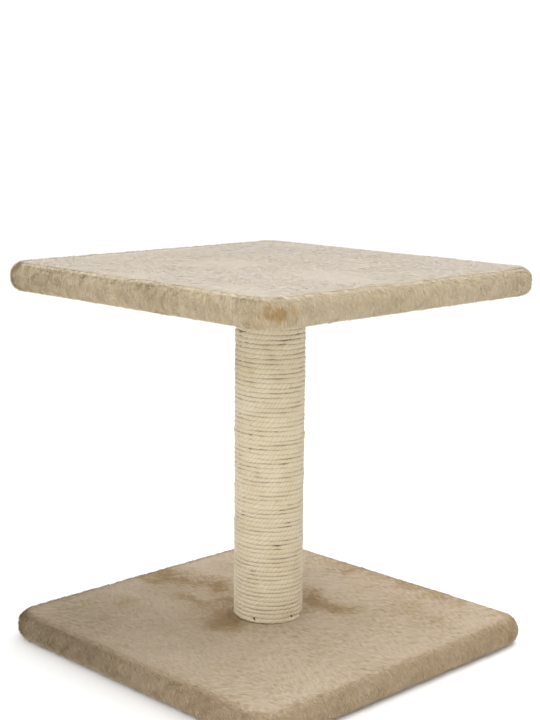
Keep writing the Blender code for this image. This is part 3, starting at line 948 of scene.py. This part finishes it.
def staplePull(angle, height, centre):
    # nearness to the staples that hold the rope, a bell shape along the rope and in height
    pulled = np.zeros_like(height)
    for name in ("rope_staple_foot_1", "rope_staple_foot_2", "rope_staple_top"):
        a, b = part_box(name)
        x, y, level = (a.x + b.x) / 2, (a.y + b.y) / 2, (a.z + b.z) / 2
        along = turnFrom(angle, math.atan2(y, x)) * centre
        dent = np.exp(-((along / sisal["dentLength"]) ** 2))[:, None]
        pulled = pulled + dent * np.exp(-(((height - level) / sisal["dentHeight"]) ** 2))
    return pulled


def partedShare(angle, z):
    # nearness to the break, only over it and along part of a turn
    off, over = turnFrom(angle, sisal["breakAngle"]), z - sisal["breakHeight"]
    near = np.exp(-((over / sisal["breakReach"]) ** 2)) * (over > 0)
    return (near * smoothStep(-1.3, -0.9, off) * (off < 0))[:, None]


def ropeSurface():
    # centre line c(k) = (rc cos a, rc sin a, z(k)), a = start + 2 pi k. Section at angle q:
    # radius r(q) = 1 - strandDepth * (1 - w)^2, w = (1 + cos(3 (q - 2 pi s / lay))) / 2,
    # flattened outwards so that neighbouring turns meet in narrow grooves. Gives the points,
    # both maps and the depth, 0 in the hollows and 1 on the strands, which the material darkens as
    # painted shade
    low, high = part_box(sisal["node"])
    turns, thick = sisal["turns"], sisal["thick"]
    centre = sisal["tube"] + thick / 2
    start = sisal["endAngle"] - fullTurn * turns
    n = int(turns * fullTurn * centre / sisal["step"])
    k = np.linspace(0, turns, n)
    angle = start + fullTurn * k
    z = turnHeights(k, turns, high.z - thick * 0.9, low.z + thick * 0.34)
    spacing = -np.gradient(z, k)
    s = k * fullTurn * centre
    around = np.stack([np.cos(angle) * centre, np.sin(angle) * centre, z], 1)
    fat, _ = softNoise(around, sisal["fatWave"], 5)
    fine, _ = softNoise(around, sisal["fineWave"], 6)
    slack, _ = softNoise(around * np.array([1.0, 1.0, 2.0]), sisal["slackWave"], 8)
    uneven, _ = softNoise(around, sisal["unevenWave"], 9)
    merge, _ = softNoise(around * np.array([1.0, 1.0, 1.8]), sisal["mergeWave"], 10)
    swell = 1 + sisal["fatShare"] * fat + sisal["fineShare"] * fine
    bulge = np.exp(-(((z - sisal["bulgeHeight"]) / 0.0032) ** 2)) * sisal["bulge"]
    q = np.radians([0, 20, 40, 60, 80, 103, 140, 180, 220, 257, 280, 300, 320, 340])
    drift = sisal["unevenTwist"] * uneven[:, None]
    twist = 3 * (q[None] - fullTurn * s[:, None] / sisal["lay"]) + drift
    hollow = (0.5 - 0.5 * np.cos(twist)) ** 2
    lobes = 1 - sisal["strandDepth"] * hollow
    cosine, sine = np.cos(q), np.sin(q)
    outward = thick / 2 * lobes * swell[:, None] * np.sign(cosine) * np.abs(cosine) ** 0.72
    thin = 1.13 + 0.07 * merge - 0.06 * np.maximum(slack - 0.5, 0) ** 2
    upward = spacing[:, None] / 2 * thin[:, None] * (1 - 0.5 * sisal["strandDepth"] * hollow) * sine
    ends = np.minimum(smoothStep(0, 0.02, k), smoothStep(0, 0.02, turns - k))[:, None] * 0.8 + 0.2
    radius = centre + outward * ends + bulge[:, None]
    pulled, part = staplePull(angle, z[:, None] + upward, centre), partedShare(angle, z)
    radius = radius - sisal["dent"] * pulled * (outward > 0) - 0.0009 * part
    height = z[:, None] + upward * ends + 0.0006 * part
    across, beside = np.cos(angle)[:, None], np.sin(angle)[:, None]
    points = np.stack([radius * across, radius * beside, height], -1)
    bakeU = np.repeat((angle[:, None] / fullTurn) % 1.0, len(q), 1)
    bakeV = (height - low.z) / (high.z - low.z) * 0.98 + 0.01
    lay = np.stack([np.repeat(s[:, None], len(q), 1), np.repeat(q[None] / fullTurn, n, 0)], -1)
    # painted shade: the depth falls in the hollows between strands and in the grooves between turns,
    # more where turns part
    groove = np.abs(sine)[None] ** 6 * (0.18 + 0.55 * np.clip(slack, 0, 1))[:, None]
    depth = np.clip(1 - hollow * 0.62 - groove, 0, 1)
    return points, np.stack([bakeU, bakeV], -1), lay, depth


def sisalMaterial():
    # fibres: noise drawn out along the strands, in rope length and angle; the hollows between
    # strands and turns are darkened with painted shade
    m = Shader("sisalRope")
    lay = m.node("ShaderNodeUVMap", uv_map="lay").outputs["UV"]
    parts = m.node("ShaderNodeSeparateXYZ", {"Vector": lay})
    along, around = parts.outputs[0], parts.outputs[1]
    twisted = m.math("SUBTRACT", around, m.math("MULTIPLY", along, 1 / sisal["lay"]))
    angle = m.math("MULTIPLY", twisted, fullTurn)
    ring = m.node("ShaderNodeCombineXYZ", {
        0: m.math("MULTIPLY", along, 70.0),
        1: m.math("MULTIPLY", m.math("COSINE", angle), 4.0),
        2: m.math("MULTIPLY", m.math("SINE", angle), 4.0),
    }).outputs[0]
    fibres = m.noise(ring, 2.0, 4.0, 0.72)
    slow = m.noise(m.place(), 30.0, 3.0)
    value = m.math("ADD", m.math("MULTIPLY", fibres, 0.70), m.math("MULTIPLY", slow, 0.45))
    value = m.math("SUBTRACT", value, 0.10)
    colour = m.ramp(value, [(0.15, sisal["dark"]), (0.45, sisal["mid"]), (0.80, sisal["light"])])
    # painted shade in the hollows between strands and turns, mixed towards the dark colour
    hollow = m.math("SUBTRACT", 1.0, m.mark("depth"))
    m.colour(m.mix(m.math("MULTIPLY", hollow, 0.55), colour, sisal["dark"]))
    m.fixed(Roughness=0.85, Sheen_Weight=0.30, Sheen_Roughness=0.45)
    m.body.inputs["Specular IOR Level"].default_value = 0.2
    m.bump(fibres, 0.6, 0.0005)
    return m.material


def unwrapLoops(loops):
    # where a face crosses the seam, its low first values move up by one turn
    u = loops[..., 0]
    crosses = (u.max(1) - u.min(1)) > 0.5
    u = np.where(crosses[:, None] & (u < 0.5), u + 1, u)
    return np.stack([u, loops[..., 1]], -1)


def makeRope():
    # the wound rope as three closed lengths, one above the other
    points, bake, lay, depth = ropeSurface()
    material = sisalMaterial()
    n, around = points.shape[:2]
    cuts = np.linspace(0, n - 1, 4).astype(int)
    for name, a, b in zip(("ropeUpper", "ropeMiddle", "ropeLower"), cuts, cuts[1:] + 1):
        flat = points[a:b].reshape(-1, 3)
        ends = np.array([points[a].mean(0), points[b - 1].mean(0)])
        triangles = np.concatenate([tubeFaces(b - a, around), endFaces(b - a, around)])
        bakeUv = np.concatenate([bake[a:b].reshape(-1, 2), bake[[a, b - 1], 0]])[triangles]
        layUv = np.concatenate([lay[a:b].reshape(-1, 2), lay[[a, b - 1], 0]])[triangles]
        layUv = unwrapLoops(layUv[..., ::-1])[..., ::-1]
        marks = {"depth": np.concatenate([depth[a:b].ravel(), [0.5, 0.5]])}
        piece = putMesh(
            name, np.concatenate([flat, ends]), triangles, unwrapLoops(bakeUv).reshape(-1, 2), marks,
            True, layUv.reshape(-1, 2),
        )
        piece.data.materials.append(material)
        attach(piece, "root")
        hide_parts(sisal["node"])


makeRope()
print("stage: sisal rope")

hard = {
    "chipboard": {
        "name": "chipboard", "dark": (0.36, 0.24, 0.13), "light": (0.68, 0.53, 0.33),
        "scale": 260.0, "stretch": (1.0, 1.0, 1.0), "roughness": 0.85, "bump": 0.4,
    },
    "cardboard": {
        "name": "cardboard", "dark": (0.30, 0.20, 0.12), "light": (0.46, 0.34, 0.22),
        "scale": 180.0, "stretch": (1.0, 1.0, 0.2), "roughness": 0.9, "bump": 0.2,
    },
    "turned_wood": {
        "name": "turnedWood", "dark": (0.48, 0.32, 0.18), "light": (0.72, 0.56, 0.36),
        "scale": 90.0, "stretch": (1.0, 1.0, 0.15), "roughness": 0.7, "bump": 0.2,
    },
    "zinc_steel": {"name": "zincSteel", "metal": (0.66, 0.66, 0.64), "roughness": 0.32},
    "dark_staple": {"name": "darkStaple", "metal": (0.10, 0.085, 0.07), "roughness": 0.5},
}


def grainMaterial(h):
    # board, card or wood: one noise between two colours, also as a slight relief
    m = Shader(h["name"])
    grain = m.noise(m.place(h["stretch"]), h["scale"], 5.0, 0.65)
    m.colour(m.ramp(grain, [(0.3, h["dark"]), (0.7, h["light"])]))
    m.fixed(Roughness=h["roughness"])
    m.bump(grain, h["bump"], 0.0005)
    return m.material


def metalMaterial(h):
    # bare metal with fine scratches, down to four fifths of its colour
    m = Shader(h["name"])
    scratches = m.noise(m.place((1.0, 1.0, 6.0)), 300.0, 3.0)
    shade = tuple(c * 0.8 for c in h["metal"])
    m.colour(m.ramp(scratches, [(0.3, shade), (0.7, h["metal"])]))
    m.fixed(Roughness=h["roughness"], Metallic=1.0)
    m.bump(scratches, 0.1, 0.0002)
    return m.material


def dressNodes():
    # every kept CAD node takes the finish of its slot
    finishes = {k: (metalMaterial if "metal" in h else grainMaterial)(h) for k, h in hard.items()}
    slots = {s["node"]: s["material_slot"] for s in frame["record"]["subparts"]}
    for name, node in frame["nodes"].items():
        finish = finishes.get(slots[name])
        if finish:
            node.data.materials.clear()
            node.data.materials.append(finish)


dressNodes()
print("stage: boards, tube, plugs and fasteners")

liner = {
    "platform": {"node": "top_liner", "board": "top_board", "hole": 0.0046},
    "base": {"node": "base_liner", "board": "base_board", "hole": 0.0126},
    "wave": 0.001,           # how far the sheet sags between its edges
    "waveLength": 0.05,
    "spacing": 0.004,
    "thick": 0.0007,
    "corner": 0.006,
    "rings": 44,
    "dark": (0.52, 0.49, 0.43),
    "light": (0.70, 0.67, 0.61),
}


def makeLiner(kind):
    # a thin closed sheet between a round hole and the rounded square,
    # r(v) = (1 - v) hole + v square, its lower face sagging a little where it isn't held
    node, hole, corner = liner[kind]["node"], liner[kind]["hole"], liner["corner"]
    low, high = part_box(node)
    half = (high.x - low.x) / 2
    sides, directions = squareColumns(half, corner, liner["spacing"])
    outerRing = (half - corner) * sides + corner * directions
    v = np.linspace(0, 1, liner["rings"])[:, None, None]
    plan = (1 - v) * unit(outerRing) * hole + v * outerRing
    flat = plan.reshape(-1, 2)
    wave, _ = softNoise(np.column_stack([flat, np.zeros(len(flat))]), liner["waveLength"], 31)
    hold = np.clip(insideSquare(flat, half - 0.02, corner) / 0.03, 0, 1)
    hold = hold * smoothStep(0, 0.03, np.linalg.norm(flat, axis=1) - hole)
    lower = np.column_stack([flat, low.z - np.abs(wave) * liner["wave"] * hold])
    upper = np.column_stack([flat, np.full(len(flat), low.z + liner["thick"])])
    rows, count = plan.shape[:2]
    quads = gridFaces(rows, count)
    over = quads + rows * count
    j = np.arange(count)
    k = (j + 1) % count
    last, top = (rows - 1) * count, rows * count
    innerWall = np.stack([j, k, top + k, top + j], 1)
    outerWall = np.stack([last + k, last + j, top + last + j, top + last + k], 1)
    faces = np.concatenate([quads, over[:, ::-1], innerWall, outerWall])
    piece = putMesh(kind + "Liner", np.concatenate([lower, upper]), faces)
    m = Shader(kind + "LinerCloth")
    dots = m.node("ShaderNodeTexVoronoi", {"Vector": m.place(), "Scale": 650.0}).outputs["Distance"]
    fibres = m.noise(m.place((1.0, 3.0, 1.0)), 240.0, 4.0, 0.7)
    m.colour(m.ramp(fibres, [(0.3, liner["dark"]), (0.7, liner["light"])]))
    m.bump(m.math("ADD", dots, fibres), 0.35, 0.0003)
    m.fixed(Roughness=0.9)
    piece.data.materials.append(m.material)
    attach(piece, "root")
    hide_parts(node)


makeLiner("platform")
makeLiner("base")
print("stage: liners")
